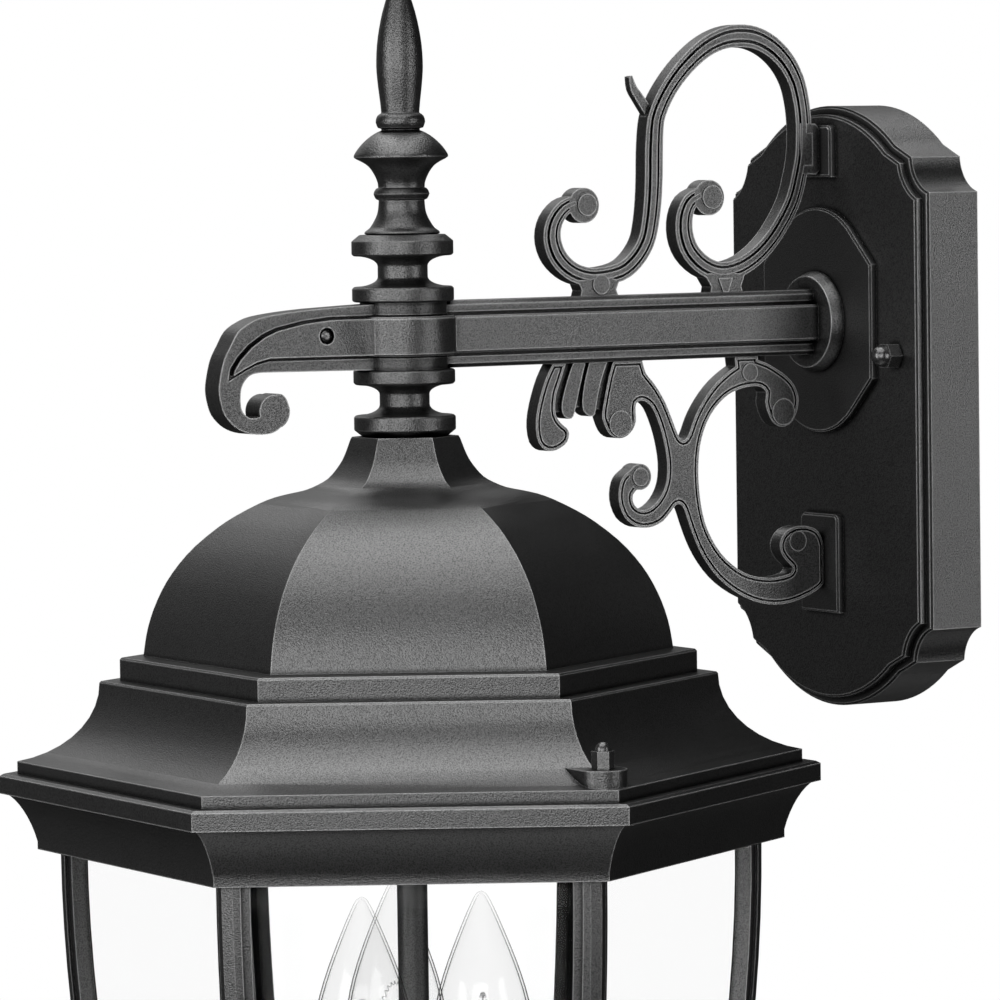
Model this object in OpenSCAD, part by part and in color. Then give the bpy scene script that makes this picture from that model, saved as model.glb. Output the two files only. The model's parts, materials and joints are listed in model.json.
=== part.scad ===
// Outdoor wall lantern: a six-sided bent-glass cage hung from a cast bracket arm with scrolls.
// The wall is the plane y = 0, the lantern hangs on its -y side, z is up and x = 0 is the
// plane of symmetry. The origin is the middle of the box screws that hold the strap to the wall.

/* [Wall plate] */
// Width of the wall plate across its straight sides
plate_w = 120; // [114:1:132]
// Height of the wall plate
plate_h = 210.6; // [206:0.2:226]
// Radius of the arch that ends the plate at top and bottom
plate_arc_r = 64.3; // [60:0.1:70]
// Half-width at which the arch passes into the shoulder
shoulder_x = 40; // [36:0.5:44]
// Radius of the hollow corner under the shoulder
corner_r = 13.5; // [11:0.5:15]
// Distance from the wall to the plate's flat face
plate_d = 24; // [20:0.5:30]
// Width and depth of the step round the face
plate_step = 3; // [2:0.5:5]
// Wall thickness of the plate casting
plate_wall = 3; // [2:0.5:4]
// Height of the raised medallion and pads above the face
relief_t = 2.7; // [1.5:0.1:4]
// Width of the medallion behind the arm
medallion_w = 66.6; // [56:0.2:74]
// Radius of the medallion's arched top and bottom
medallion_arc_r = 31; // [28:0.5:33]
// Height of the medallion
medallion_h = 78.6; // [74:0.2:82]
// Width of the pad behind the upper scroll
upper_pad_w = 19; // [16:0.5:24]
// Width of the pad behind the lower scroll
lower_pad_w = 23; // [18:0.5:28]
// Distance between the two cap nuts that hold the plate
nut_span = 89; // [84:1:94]
// Height of the plate's middle above its mounting screws, negative when it is below them
plate_z = -19; // [-26:1:-10]

/* [Mounting strap] */
// Length of the steel strap behind the plate
strap_l = 100; // [98:1:106]
// Height of the strap
strap_h = 19; // [16:1:24]
// Thickness of the strap
strap_t = 2; // [1.5:0.1:3]
// Distance between the box screws in the strap's slots
box_span = 69.85; // [66:0.05:72]
// Length of a box-screw slot
slot_l = 10; // [7:0.5:11]
// Width of a box-screw slot
slot_w = 4.6; // [4:0.1:5]
// Diameter of the studs in the strap
stud_d = 4; // [3.5:0.5:5]

/* [Arm] */
// Distance from the wall to the lantern's axis
arm_reach = 193.6; // [186:0.1:230]
// Height of the arm's centre above the plate's mounting screws
arm_z = 11; // [7:0.5:15]
// Height of the arm bar
arm_h = 22.6; // [20:0.2:26]
// Thickness of the arm bar across its outer bands
arm_w = 10; // [9:0.5:13]
// Thickness of the arm across its raised panel
panel_w = 16; // [14:0.5:18]
// Height of the raised panel
panel_h = 12.4; // [10:0.2:14]
// Width of the groove on each side of the panel
groove_w = 1.3; // [0.8:0.1:2]
// Depth of the groove below the outer bands
groove_t = 0.7; // [0.4:0.1:1.2]
// Chamfer on the long edges of the bar
arm_chamfer = 1.4; // [0.5:0.1:2]
// Diameter of the round flange against the medallion
flange_d = 35.2; // [30:0.2:40]
// Depth of the flange
flange_t = 4.5; // [3:0.5:8]
// Diameter of the drum at the end of the arm
drum_d = 35.2; // [33:0.2:40]
// Height of the drum's wide middle
drum_h = 13.2; // [11:0.2:15]
// Diameter of the rings above and below the drum
ring_d = 29.2; // [27:0.2:32]
// Thickness of the two scrolls at their rims
scroll_w = 6.4; // [5.5:0.1:8]
// How far the vein stands proud of the rims, both sides together
vein_h = 0.6; // [0.2:0.1:1]
// Depth of the grooves beside the vein
relief_h = 0.8; // [0.4:0.1:1.2]
// Diameter of the wire way through the arm
wire_way_d = 7; // [6:0.5:8]

/* [Stem and turned parts] */
// Diameter of the threaded stem that carries the lantern
stem_d = 10.3; // [10:0.1:12]
// Clearance round the stem in the pieces it passes through
stem_gap = 0.15; // [0.1:0.05:0.4]
// Wall thickness of the stem tube
stem_wall = 1.6; // [1.2:0.1:2]
// Diameter of a spool's flanges
spool_d = 34.2; // [31:0.2:38]
// Diameter of a spool's waist
spool_waist_d = 16.8; // [15:0.2:20]
// Height of a spool
spool_h = 22.5; // [20:0.5:28]
// Height of the finial above the upper spool
finial_h = 90.3; // [80:0.1:110]
// Widest diameter of the finial
finial_d = 31.6; // [28:0.2:34]

/* [Roof] */
// Distance from the axis to a corner of the roof's edge band
eave_r = 132.3; // [128:0.1:140]
// Distance from the axis to a corner at the top of the skirt
skirt_r = 104.2; // [101:0.1:108]
// Distance from the axis to a corner of the step above the skirt
step_r = 97.2; // [94:0.1:99]
// Distance from the axis to a corner at the foot of the dome
dome_r = 89.2; // [84:0.1:92]
// Distance from the axis to a corner at the neck of the roof
neck_r = 19.9; // [18.5:0.1:22]
// Height of the curved dome
dome_h = 68; // [60:0.5:76]
// Height of the neck above the dome
neck_h = 4.8; // [3.5:0.1:6]
// Height of the step above the skirt
step_h = 8.8; // [6:0.1:11]
// Height of the flared skirt
skirt_h = 26.1; // [23:0.1:29]
// Height of the edge band
eave_h = 4.1; // [3.5:0.1:6]
// Wall thickness of the roof
roof_wall = 3; // [2.4:0.1:3.4]
// How far each of the two roof studs stands in from the roof's corner
lug_inset = 9.3; // [8.5:0.1:11]
// Width of the bosses round the roof studs
lug_w = 15.5; // [14:0.5:16]

/* [Cage] */
// How far the crown's band stands out from the roof's edge, at a corner
crown_lip = 6.2; // [4:0.1:8]
// Height of the crown's band
crown_band_h = 6.7; // [5:0.1:9]
// Height of the crown
crown_h = 25.8; // [23:0.1:30]
// Distance from the axis to a corner of the crown's lower edge
crown_foot_r = 126; // [124:0.1:128]
// Wall thickness of the crown
crown_wall = 3; // [2.5:0.1:4]
// Height of the glazed part of the cage
cage_h = 200; // [180:1:230]
// Radius of the curve that the corner posts follow
post_curve_r = 576; // [540:1:640]
// Distance from the axis to the nose of a post at the top
post_nose_r = 118.1; // [117.5:0.1:119.5]
// Thickness of the glass
glass_t = 3; // [2:0.1:4]
// Clearance between the glass and the cage
glass_gap = 0.3; // [0.2:0.05:0.5]
// Height of the ring at the foot of the cage
base_h = 12.7; // [10:0.1:16]

/* [Lamps] */
// Distance from the axis to each lamp
lamp_r = 24; // [23.5:0.5:28]
// Diameter of a bulb at its widest
bulb_d = 34.6; // [30:0.2:35]
// Height of a bulb above its cap
bulb_h = 84; // [76:1:90]
// Distance from the underside of the roof's edge down to the tips of the bulbs
bulb_drop = 41.5; // [38:0.5:50]
// Outer diameter of a candle sleeve
sleeve_d = 22; // [21:0.5:24]
// Height of a candle sleeve
sleeve_h = 70; // [60:1:74]
// Diameter of a bulb's screw cap
cap_d = 11.8; // [11.4:0.1:12.4]

/* [Hidden] */
$fn = 64;
steel = "#8b8d90";
black = "#26272a";
brass = "#b08d4a";
ivory = "#e8e2d0";
clear = "#dfe9ec";
nip = 0.01;

plate_rim = plate_d - plate_step;
pad_front = plate_d + relief_t;
flange_front = pad_front + flange_t;
arm_top = arm_z + arm_h / 2;
arm_bot = arm_z - arm_h / 2;
// Both scrolls are drawn at the plate's set height, and stretch with it so that their ends stay
// on its pads.
plate_top = plate_z + plate_h / 2;
plate_foot = plate_z - plate_h / 2;
rise_k = (plate_top - arm_top) / 64;
drop_k = (arm_bot - plate_foot) / 124;
stem_hole_r = stem_d / 2 + stem_gap;
stem_r = stem_d / 2;
stud_r = stud_d / 2;
finial_z = arm_top + spool_h;
roof_z = arm_bot - spool_h;

step_z = roof_z - neck_h - dome_h;
skirt_z = step_z - step_h;
skirt_w = eave_r - skirt_r;
lug_x = eave_r - lug_inset;
eave_z = skirt_z - skirt_h - eave_h;
crown_r = eave_r + crown_lip;
foot_z = eave_z - crown_h;
base_z = foot_z - cage_h;
bottom_z = base_z + 3 - base_h;
pan_t = 3;

// Section of a corner post at its top: distance from the nose inwards, half-width.
post_half = [[0, 2.1], [1.3, 4.35], [2.2, 3.85], [3.7, 6.45], [8.7, 3.55]];
notch = 6.7;
notch_curve_r = post_curve_r - notch;
notch_drop = notch_curve_r - sqrt(pow(notch_curve_r, 2) - pow(cage_h, 2));
pane_r0 = (post_nose_r - notch) * cos(30) - glass_gap;
pane_drop = notch_drop * cos(30);
pane_curve_r = (pow(pane_drop, 2) + pow(cage_h, 2)) / (2 * pane_drop);
pane_foot_r = pane_r0 - pane_drop;
post_foot_r = post_nose_r - post_curve_r + sqrt(pow(post_curve_r, 2) - pow(cage_h, 2));

bulb_tip_z = eave_z - bulb_drop;
cap_z = bulb_tip_z - bulb_h;
cap_h = 17;
sleeve_z = cap_z + 2 - sleeve_h;
cluster_t = 12;

// Curve through points p, each span cut into n, so that a few points give a smooth line.
function knot(a, b, c, d, t) = 0.5 * (2 * b + (c - a) * t + (2 * a - 5 * b + 4 * c - d) * t * t
    + (3 * b - a - 3 * c + d) * t * t * t);
function curve(p, n) = let (e = len(p) - 1) concat(
    [for (i = [0:e - 1]) for (k = [0:n - 1])
        knot(p[max(i - 1, 0)], p[i], p[i + 1], p[min(i + 2, e)], k / n)], [p[e]]);
// Points beside a path, s times its local width away.
function beside(p, s) = [for (i = [0:len(p) - 1])
    let (a = p[max(i - 1, 0)], b = p[min(i + 1, len(p) - 1)], t = [b[0] - a[0], b[1] - a[1]],
        u = t / norm(t)) [p[i][0] - s * p[i][2] * u[1], p[i][1] + s * p[i][2] * u[0]]];
function turned(p) = [for (i = [len(p) - 1:-1:0]) p[i]];
function strip(p, a, b) = concat(beside(p, a), turned(beside(p, b)));
// Outline p pushed out by e, taking the points anticlockwise.
function grown(p, e) = [for (i = [0:len(p) - 1])
    let (a = p[(i + len(p) - 1) % len(p)], b = p[i], c = p[(i + 1) % len(p)],
        u = (b - a) / norm(b - a), v = (c - b) / norm(c - b), w = u + v)
    b + e * [w[1], -w[0]] / max(0.4, (norm(w) * norm(w)) / 2)];

// Extrudes an outline in x and z from one distance from the wall to another.
module out(y0, y1) {
    translate([0, -y0, 0]) rotate([90, 0, 0]) linear_extrude(y1 - y0) children();
}
// Extrudes an outline in y and z to both sides of the plane of symmetry.
module side(w) {
    rotate([90, 0, 90]) linear_extrude(w, center = true) children();
}
module both_x(x) {
    for (s = [-1, 1]) translate([s * x, 0, 0]) children();
}
// Rod along y, between two distances from the wall.
module rod_y(r, y0, y1, x = 0, z = 0) {
    translate([x, -y0, z]) rotate([90, 0, 0]) cylinder(r = r, h = y1 - y0);
}
module hex_y(across, y0, y1, x = 0, z = 0) {
    translate([x, -y0, z]) rotate([90, 0, 0]) cylinder(r = across / sqrt(3), h = y1 - y0, $fn = 6);
}
module at_axis() {
    translate([0, -arm_reach, 0]) children();
}

function ledge(x, e) = let (arch = plate_h / 2 - plate_arc_r,
    z0 = arch + sqrt(pow(plate_arc_r, 2) - pow(shoulder_x, 2)), s = 0.43)
    z0 - s * (x - shoulder_x) - e * sqrt(1 + s * s);
module plate_half(e) {
    hw = plate_w / 2 - e;
    arch = plate_h / 2 - plate_arc_r;
    difference() {
        union() {
            intersection() {
                translate([0, arch]) circle(plate_arc_r - e, $fn = 180);
                translate([-shoulder_x, 0]) square([2 * shoulder_x, plate_h]);
            }
            polygon([[-hw, 0], [hw, 0], [hw, ledge(hw, e)], [shoulder_x - 10, ledge(shoulder_x - 10, e)],
                [10 - shoulder_x, ledge(shoulder_x - 10, e)], [-hw, ledge(hw, e)]]);
        }
        for (s = [-1, 1])
            translate([s * (plate_w / 2 + 3.3), ledge(plate_w / 2 - 10, 0) + 1.1])
                circle(corner_r + e);
    }
}
module plate_outline(e) {
    translate([0, plate_z]) {
        plate_half(e);
        mirror([0, 1]) plate_half(e);
    }
}
function medallion_side(x, e) = let (arch = medallion_h / 2 - medallion_arc_r, j = 0.66 * medallion_w / 2,
    z0 = arch + sqrt(pow(medallion_arc_r, 2) - j * j), s = 0.92) z0 - s * (x - j) - e * sqrt(1 + s * s);
module medallion_half(e) {
    hw = medallion_w / 2 - e;
    j = 0.63 * medallion_w / 2;
    intersection() {
        translate([0, medallion_h / 2 - medallion_arc_r]) circle(medallion_arc_r - e, $fn = 120);
        translate([-hw, 0]) square([2 * hw, medallion_h]);
    }
    polygon([[-hw, 0], [hw, 0], [hw, medallion_side(hw, e)], [j, medallion_side(j, e)],
        [-j, medallion_side(j, e)], [-hw, medallion_side(hw, e)]]);
}
module rounded(w, h, r) {
    translate([-w / 2, 0]) square([w, h - r]);
    translate([-w / 2 + r, 0]) square([w - 2 * r, h]);
    both_x(w / 2 - r) translate([0, h - r]) circle(r);
}
upper_pad_z = arm_top + 39.2 * rise_k;
upper_pad_h = 18;
lower_pad_z = arm_bot - 90.7 * drop_k;
lower_pad_h = 34.5;
module relief(e) {
    translate([0, arm_z + 0.5]) {
        medallion_half(e);
        mirror([0, 1]) medallion_half(e);
    }
    translate([0, upper_pad_z + e]) rounded(upper_pad_w - 2 * e, upper_pad_h - 2 * e, 2.5 - e);
    translate([0, lower_pad_z + e]) rounded(lower_pad_w - 2 * e, lower_pad_h - 2 * e, 2.5 - e);
}
upper_screw_z = arm_top + 49 * rise_k;
lower_screw_z = arm_bot - 73.5 * drop_k;
module wall_plate() {
    color(black) difference() {
        union() {
            out(0, plate_rim - 0.8) plate_outline(0);
            out(0, plate_rim) plate_outline(0.7);
            out(plate_rim - 1, plate_d - 0.7) plate_outline(plate_step);
            out(plate_rim - 1, plate_d) plate_outline(plate_step + 0.7);
            out(plate_d - 1, pad_front - 0.6) relief(0);
            out(plate_d - 1, pad_front) relief(0.6);
        }
        out(-1, plate_rim - plate_wall) plate_outline(plate_wall);
        out(-1, plate_d - plate_wall) plate_outline(plate_step + plate_wall);
        both_x(nut_span / 2) rod_y(stud_r + 0.5, 0, plate_d + 1);
        rod_y(stem_hole_r, 0, pad_front + 1, 0, arm_z);
        rod_y(screw_r + 0.3, 0, pad_front + 1, 0, upper_screw_z);
        rod_y(screw_r + 0.3, 0, pad_front + 1, 0, lower_screw_z);
    }
}

screw_r = 1.75;
screw_depth = 7;
module mounting_strap() {
    color(steel) difference() {
        out(0, strap_t) translate([-strap_l / 2, -strap_h / 2]) square([strap_l, strap_h]);
        both_x(nut_span / 2) rod_y(stud_r, -1, strap_t + 1);
        both_x(box_span / 2) {
            both_x((slot_l - slot_w) / 2) rod_y(slot_w / 2, -1, strap_t + 1);
            out(-1, strap_t + 1) translate([-(slot_l - slot_w) / 2, -slot_w / 2])
                square([slot_l - slot_w, slot_w]);
        }
        rod_y(5.5, -1, strap_t + 1);
        rod_y(screw_r, -1, strap_t + 1, 16);
    }
}
module strap_studs() {
    color(steel) both_x(nut_span / 2) rod_y(stud_r, 0, plate_d + 5);
}
// Acorn nut standing on z = 0: hexagon, collar and round cap over a blind threaded hole.
module cap_nut(across, hex_h, cap_r, cap_hh, hole_r, hole_h) {
    difference() {
        union() {
            cylinder(r = across / sqrt(3), h = hex_h, $fn = 6);
            translate([0, 0, hex_h - nip]) cylinder(r = cap_r, h = cap_hh - cap_r + nip);
            translate([0, 0, hex_h + cap_hh - cap_r]) sphere(cap_r, $fn = 48);
        }
        translate([0, 0, -1]) cylinder(r = hole_r, h = hole_h + 1);
    }
}
module plate_cap_nuts() {
    color(black) both_x(nut_span / 2) translate([0, -plate_d, 0]) rotate([90, 0, 0])
        cap_nut(stud_d * 2, 5, stud_d * 0.9, 4.5, stud_r, 5);
}
module ground_screw() {
    color("#3f8f52") {
        rod_y(screw_r, 0, strap_t + nip, 16);
        difference() {
            rod_y(3.6, strap_t, strap_t + 2.4, 16);
            out(strap_t + 1.2, strap_t + 3) translate([12, -0.5]) square([8, 1]);
        }
    }
}

// Half of the bar's section, in x and height from its centre line.
module bar_section() {
    h = arm_h / 2;
    w = arm_w / 2;
    p = panel_h / 2;
    g = w - groove_t;
    half = [[w - arm_chamfer, -h], [w, arm_chamfer - h], [w, -p - groove_w], [g, -p - groove_w],
        [g, -p], [panel_w / 2 - 0.6, -p], [panel_w / 2, 0.6 - p]];
    right = concat(half, [for (i = [len(half) - 1:-1:0]) [half[i][0], -half[i][1]]]);
    polygon(concat(right, [for (i = [len(right) - 1:-1:0]) [-right[i][0], right[i][1]]]));
}
// The hook at the arm's outer end: distance beyond the lantern's axis, height from the arm's centre.
hook_curve = [[36.4, 9.8], [46.4, 9], [56, 7.7], [61, 6], [65.6, 3.1], [68.7, -1.8], [71, -6],
    [72.4, -11], [73.1, -16], [72.4, -20.6], [70.9, -24.5], [67.6, -28], [63.6, -30.1], [59, -31],
    [54, -30.8], [50.9, -29.4], [48.5, -26.8], [47.6, -23.5], [47.4, -21], [48.4, -19], [50.4, -17.8],
    [52.9, -19], [54.9, -21.5], [56.4, -24], [58.4, -25.3], [61.4, -25.5], [63.9, -24], [65, -21.6],
    [65.1, -18], [64.6, -15.2], [63.1, -12.8], [60.7, -11.1], [57, -10.6]];
hook_panel = [[0, 6.2], [31.4, 6], [41.4, 5], [51.4, 3], [56.4, 1], [61.4, -2.2], [65.4, -6],
    [67.9, -9.5], [68.2, -11.2], [63.9, -9], [59.4, -7], [54.4, -5.9], [0, -6.2]];
module hook_outline() {
    polygon(concat([[0, -arm_h / 2], [0, arm_h / 2], [21.4, 10.5]], curve(hook_curve, 3)));
}
module hook() {
    // Drawn towards +y from the axis, then turned to point away from the wall.
    at_axis() mirror([0, 1, 0]) translate([0, 0, arm_z]) {
        side(arm_w - 2 * groove_t) hook_outline();
        side(arm_w) difference() {
            hook_outline();
            polygon(grown(hook_panel, -1.1));
        }
        intersection() {
            side(panel_w) polygon(hook_panel);
            linear_extrude(100, center = true) {
                translate([-panel_w / 2, 0]) square([panel_w, 20]);
                polygon([[-panel_w / 2, 20], [-6.5, 26], [-6.5, 80], [6.5, 80], [6.5, 26],
                    [panel_w / 2, 20]]);
            }
        }
        // Rolled end of the hook.
        translate([0, 52.4, -23.7]) rotate([0, 90, 0]) cylinder(r = 5.7, h = arm_w, center = true);
    }
}
hook_screw_y = arm_reach + 33.1;
module arm() {
    color(black) difference() {
        union() {
            translate([0, 0, arm_z]) {
                out(flange_front - nip, arm_reach) bar_section();
                rotate([90, 0, 0]) rotate_extrude() polygon([[0, pad_front], [flange_d / 2, pad_front],
                    [flange_d / 2, pad_front + 1], [flange_d / 2 - 1.6, flange_front], [0, flange_front]]);
            }
            at_axis() rotate_extrude() polygon([[0, arm_bot], [ring_d / 2, arm_bot],
                [ring_d / 2, arm_z - drum_h / 2 - 0.6], [ring_d / 2 - 1, arm_z - drum_h / 2 - 0.6],
                [ring_d / 2 - 1, arm_z - drum_h / 2], [drum_d / 2 - 0.7, arm_z - drum_h / 2],
                [drum_d / 2, arm_z - drum_h / 2 + 0.7], [drum_d / 2, arm_z + drum_h / 2 - 0.7],
                [drum_d / 2 - 0.7, arm_z + drum_h / 2], [ring_d / 2 - 1, arm_z + drum_h / 2],
                [ring_d / 2 - 1, arm_z + drum_h / 2 + 0.6], [ring_d / 2, arm_z + drum_h / 2 + 0.6],
                [ring_d / 2, arm_top], [0, arm_top]]);
            hook();
        }
        at_axis() translate([0, 0, arm_bot - 1]) cylinder(r = stem_hole_r, h = arm_h + 2);
        rod_y(wire_way_d / 2, pad_front - 1, arm_reach, 0, arm_z);
        rod_y(stem_r, pad_front - 1, flange_front + nipple_l, 0, arm_z);
        translate([0, -hook_screw_y, arm_z + 0.8]) rotate([0, 90, 0]) {
            translate([0, 0, -panel_w]) cylinder(r = screw_r, h = 2 * panel_w);
            translate([0, 0, arm_w / 2]) cylinder(r = 2.8, h = panel_w);
        }
    }
}
nipple_l = 12;
module arm_nipple() {
    color(steel) difference() {
        rod_y(stem_r, plate_d - plate_wall - 7, flange_front + nipple_l, 0, arm_z);
        rod_y(stem_r - stem_wall, 0, flange_front + nipple_l + 1, 0, arm_z);
    }
}
module arm_locknut() {
    color(steel) difference() {
        hex_y(17, plate_d - plate_wall - 5, plate_d - plate_wall, 0, arm_z);
        rod_y(stem_r, 0, plate_d, 0, arm_z);
    }
}
module hook_screw() {
    color(black) translate([0, -hook_screw_y, arm_z + 0.8]) rotate([0, 90, 0]) {
        translate([0, 0, -arm_w / 2]) cylinder(r = screw_r, h = arm_w + nip);
        translate([0, 0, arm_w / 2]) rotate_extrude() polygon([[0, 0], [2.1, 0], [2.1, 0.4], [1.8, 1],
            [1.2, 1.4], [0, 1.5]]);
    }
}

// Scroll work.
function sized(p, k) = [for (q = p) [q[0], q[1] * k, q[2]]];
function outline(p, k) = [for (q = p) [q[0], q[1] * k]];
// Each path runs along the middle of a band: y from the front of the pads, height above the arm,
// width of the band.
vein = 0.16;
groove = 0.3;
upper_path = [[-100.3, 32, 4.8], [-104.8, 30.3, 5.4], [-108.6, 26, 6.2], [-109.9, 20.6, 6.8],
    [-108.4, 15, 6.9], [-104.8, 10.6, 6.6], [-99.6, 7.6, 6.4], [-92.3, 6.4, 6.4], [-82.6, 8, 6.4],
    [-76.5, 12, 6.5], [-72.1, 18, 6.6], [-70.2, 24.7, 6.8], [-69.1, 32.7, 7], [-68.6, 40.7, 7.1],
    [-68.4, 48.7, 7.1], [-67.9, 56.7, 6.8], [-66.9, 61.5, 6.6], [-64.2, 67, 6.4], [-60.2, 72.7, 6.3],
    [-54.6, 78.6, 6.4], [-47.6, 84, 6.7], [-40.5, 87.3, 7.2], [-33.4, 88.5, 7.8], [-26.2, 87.8, 7.7],
    [-19.3, 84.7, 7.4], [-13.4, 79.5, 7], [-9.4, 73, 6.6], [-7.5, 66.5, 6.4], [-6.6, 60, 6.3],
    [-6.5, 53.7, 6.2], [-7, 46.7, 6], [-8.5, 39.7, 6], [-11, 31.7, 6], [-15, 24.7, 6], [-20.4, 17.7, 6],
    [-26.9, 12, 6.2], [-33.9, 8.4, 6.4], [-41.4, 7.1, 6.6], [-48.3, 9.3, 6.8], [-53.8, 14.1, 7],
    [-56.3, 20, 7], [-56.3, 26.3, 6.6], [-54, 31.3, 6], [-49.6, 33.8, 5.4]];
module scroll_at(z) {
    translate([0, -pad_front, z]) children();
}
module disc(y, z, r, w) {
    translate([0, y, z]) rotate([0, 90, 0]) cylinder(r = r, h = w, center = true);
}
module upper_scroll() {
    k = rise_k;
    path = curve(sized(upper_path, k), 3);
    color(black) difference() {
        scroll_at(arm_top) {
            // A web with a raised rim along each edge and a raised vein between two grooves.
            side(scroll_w - 2 * relief_h) polygon(strip(path, -0.5, 0.5));
            side(scroll_w) polygon(strip(path, -0.5, -groove));
            side(scroll_w) polygon(strip(path, groove, 0.5));
            side(scroll_w + vein_h) polygon(strip(path, -vein, vein));
            disc(-97, 31 * k, 6, scroll_w);
            disc(-95.9, 31.2 * k, 3.8, scroll_w + vein_h + 0.4);
            disc(-46.1, 32.8 * k, 6.1, scroll_w);
            disc(-45, 33 * k, 4.1, scroll_w + vein_h + 0.4);
            // Feet on the arm.
            side(scroll_w) polygon([[-98.9, 0], [-98.3, 2], [-99.9, 5.5 * k], [-87, 6.3 * k],
                [-83.2, 5], [-84.5, 2], [-83.7, 0]]);
            disc(-90.7, 3.9, 3.4, scroll_w + vein_h + 0.4);
            side(scroll_w) polygon([[-46, 0], [-45.6, 2], [-48.5, 6.5 * k], [-39, 7 * k], [-31.8, 6],
                [-33.3, 2], [-32.8, 0]]);
            side(scroll_w + vein_h + 0.4) polygon([[-41.1, 0], [-43, 5], [-37, 5], [-38.9, 0]]);
            // Block against the pad and the small leaf beside the arch.
            side(scroll_w) polygon(outline([[0, 41.7], [0, 56.2], [-1.6, 57.8], [-8, 58], [-8, 40.5],
                [-1.6, 40.1]], k));
            side(scroll_w + vein_h) polygon(outline([[-3, 43.2], [-3, 54.7], [-7.2, 54.7],
                [-7.2, 43.2]], k));
            side(0.5 * scroll_w) polygon(strip(curve(sized([[-66.4, 59, 4], [-69.3, 62.4, 3.5],
                [-72.8, 67.2, 3.2], [-75.3, 70.7, 2.6], [-76.5, 74.9, 1.2]], k), 3), -0.5, 0.5));
        }
        rod_y(screw_r, pad_front - 1, pad_front + screw_depth, 0, upper_screw_z);
    }
}

// Lower scroll, drawn in y and z with its datum where the front of the
// pads meets the underside of the arm.
datum = [-27.2, 18.7];
leaf_1 = [[-137.6, 18.7], [-140.3, 14], [-142.6, 8], [-144.2, 2], [-144.6, -3], [-143.6, -8], [-141, -10.5],
    [-138, -11], [-134.8, -10], [-132.2, -8], [-131.4, -5.2], [-132.4, -3.4], [-134, -2.2], [-136, 0],
    [-136.9, 3], [-136.4, 8], [-134.8, 12.2], [-132.3, 18.7]];
leaf_2 = [[-129.5, 18.7], [-131.8, 13], [-133.6, 7.5], [-134.3, 3.5], [-133.4, 0.8], [-131.2, -0.3],
    [-129.6, 0.6], [-128.5, 4], [-127, 10], [-124.5, 18.7]];
leaf_3 = [[-122.9, 18.7], [-124.8, 12.5], [-126, 5.5], [-125.4, 2.2], [-123.6, 0.6], [-121.6, 0.3],
    [-120.7, 2], [-119.5, 8], [-117.6, 14], [-115.7, 18.7]];
// Leaf 4 runs on into the stem of the scroll and its small curl.
stem_left = [[-113.3, 18.7], [-115, 14], [-116.8, 7], [-118, 1], [-117.6, -1.5], [-116, -5], [-113.8, -7],
    [-111, -7.7], [-108.2, -7], [-105.8, -5], [-104.4, -2], [-104.5, 1], [-104.2, 4], [-102, 5], [-99.5, 4],
    [-97.5, 2], [-95.5, -2], [-93.7, -7], [-92.5, -12], [-91.8, -17], [-92, -22], [-93.2, -26],
    [-95.5, -29.5], [-98.5, -31.9], [-101.5, -32.8], [-104.4, -31.9], [-106, -29.8], [-106, -27.4],
    [-104.6, -25.8]];
curl_left = [[-106, -18.2], [-109.3, -20.5], [-111, -23], [-111.8, -27], [-111.3, -31], [-109.2, -35.3],
    [-105.5, -38], [-102, -38.9], [-97.9, -38.6], [-94, -37], [-90.8, -34], [-88.9, -31.9], [-87.5, -31.3],
    [-86.2, -31.8], [-85, -33.5], [-83.7, -37], [-82, -41.5], [-79.5, -47], [-76, -52.5], [-71.5, -57.7],
    [-66, -62], [-60, -65.3], [-54, -67.4], [-48, -68.3], [-42, -68], [-36, -66.5], [-31, -64.5],
    [-28.5, -63]];
knuckle = [[-28, -45.8], [-29.6, -43.4], [-32, -42], [-35, -41.3], [-38.5, -41.3], [-42, -42.4],
    [-44.5, -44.6], [-45.6, -47.5], [-45, -50.5], [-42.8, -53.3], [-40.7, -55.2], [-40.4, -56.6],
    [-42, -57.9], [-46, -58.6], [-50, -58.8], [-56, -58], [-61, -56.3], [-65.5, -53.5], [-70, -49.5],
    [-74, -44], [-76.8, -38], [-78.4, -31], [-79.1, -24], [-79.1, -18], [-78.4, -12], [-76.7, -6.3],
    [-73.9, -1.1], [-70.2, 3], [-66.3, 5.8], [-61.6, 7.6], [-57, 8.3], [-53, 8], [-50.6, 6], [-51, 2.8],
    [-50.2, -0.5], [-48.4, -4], [-45.7, -6], [-42.7, -6.1], [-39.9, -4.6], [-38.3, -2], [-37.3, 1.2],
    [-37.3, 4.4], [-39, 8.3], [-42, 11.3], [-46, 13.9], [-50, 16], [-54, 17.4]];
crotch = [[-63.2, 15.4], [-66, 13.8], [-70.5, 10.6], [-74.5, 6.7], [-78, 2.2], [-80.5, -2], [-82.2, -6],
    [-83.6, -8.6], [-85.2, -9.4], [-86.8, -8.3], [-88.2, -5.5], [-90.1, -1], [-92.4, 4], [-95.3, 8.6],
    [-97.9, 11.8], [-100.2, 14.4], [-101.6, 18.7]];
lower_outline = concat(curve(stem_left, 2), [[-101.5, -24.2], [-101.3, -18.8]],
    curve(curl_left, 2), [[-27.2, -61.5], [-27.2, -48.5]],
    curve(knuckle, 2), [[-54, 18.7], [-63.6, 18.7]], curve(crotch, 2));
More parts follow.
